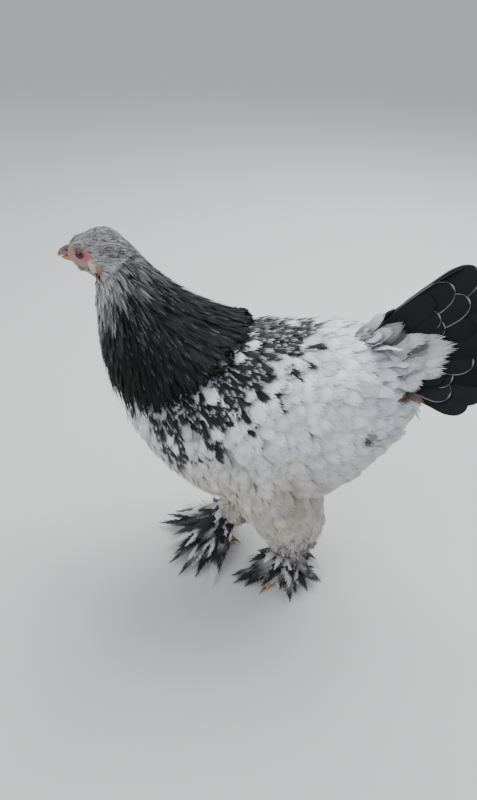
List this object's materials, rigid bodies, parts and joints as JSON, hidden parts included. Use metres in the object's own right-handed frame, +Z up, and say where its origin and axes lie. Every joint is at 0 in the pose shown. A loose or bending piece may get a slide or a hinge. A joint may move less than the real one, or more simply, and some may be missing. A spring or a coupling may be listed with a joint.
{
  "type": "brahma chicken",
  "caption": "Still, life-size model of a light mottled Brahma pullet standing mid-step, with full hackle, fanned tail and feathered feet.",
  "frame": {"origin": "the middle of the floor plan, at the level of the soles", "axes": "the bird faces -X, its left side is towards -Y, +Z is up"},
  "size_m": [0.467, 0.2152, 0.4699],
  "materials": {
    "face_skin": "matt, finely pebbled bare skin with short pale feathers",
    "horn": "satin horn",
    "eye": "wet gloss",
    "hackle_plumage": "soft sheen, black with pale edges",
    "body_plumage": "matt, soft white to cream feather",
    "wing_plumage": "matt white feather with grey marks",
    "tail_plumage": "soft sheen, black with a thin white edge",
    "leg_plumage": "matt, fluffy white to cream feather",
    "foot_skin": "scaled, matt yellow skin under black and white feather"
  },
  "bodies": {
    "root": {"head": "face_skin", "beak_upper": "horn", "beak_lower": "horn", "eye_left": "eye", "eye_right": "eye", "neck": "hackle_plumage", "torso": "body_plumage", "tail": "tail_plumage", "wing_left": "wing_plumage", "wing_right": "wing_plumage", "thigh_left": "leg_plumage", "thigh_right": "leg_plumage", "foot_left": "foot_skin", "foot_right": "foot_skin", "claw_left_inner": "horn", "claw_left_middle": "horn", "claw_left_outer": "horn", "claw_left_hind": "horn", "claw_right_inner": "horn", "claw_right_middle": "horn", "claw_right_outer": "horn", "claw_right_hind": "horn"}
  },
  "joints": []
}
